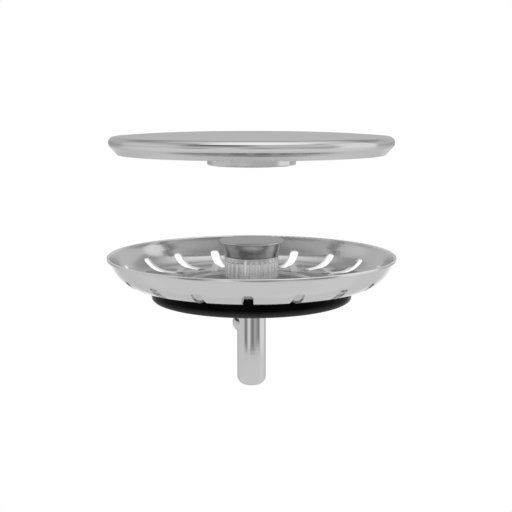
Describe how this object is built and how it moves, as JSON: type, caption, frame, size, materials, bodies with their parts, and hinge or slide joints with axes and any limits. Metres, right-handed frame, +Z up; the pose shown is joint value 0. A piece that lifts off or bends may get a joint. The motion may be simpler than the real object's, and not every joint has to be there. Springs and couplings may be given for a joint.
{
  "type": "basket strainer plug with cover",
  "caption": "Slotted pressed-steel basket strainer plug with a fluted knob, rubber seal, ball-detent stem and a domed lift-off cover.",
  "frame": {"origin": "on the plug's axis in the plane of the seal's underside, where the stem leaves the seal", "axes": "+Z up along the axis towards knob and cover, the detent ball points along -X"},
  "size_m": [0.078, 0.078, 0.0691],
  "materials": {
    "basket_steel": "polished",
    "knob_chrome": "bright plated",
    "seal_rubber": "smooth moulded",
    "washer_steel": "plain",
    "stem_steel": "turned and polished",
    "ball_steel": "ground bright",
    "spring_steel": "drawn wire",
    "cover_steel": "polished",
    "collar_steel": "polished"
  },
  "bodies": {
    "plug": {"strainer_basket": "basket_steel", "knob": "knob_chrome", "seal": "seal_rubber", "seal_washer": "washer_steel", "stem": "stem_steel", "detent_spring": "spring_steel"},
    "cover": {"cover_plate": "cover_steel", "cover_collar": "collar_steel"},
    "ball": {"detent_ball": "ball_steel"}
  },
  "joints": [
    {"name": "cover_lift", "type": "slide", "parent": "plug", "child": "cover", "axis": [0, 0, 1], "range_m": [-0.0281, 0]},
    {"name": "ball_press", "type": "slide", "parent": "plug", "child": "ball", "axis": [1, 0, 0], "range_m": [0, 0.0012], "stiffness_N_per_m": 2000, "springref_m": -0.0015, "deforming": ["detent_spring"]}
  ]
}
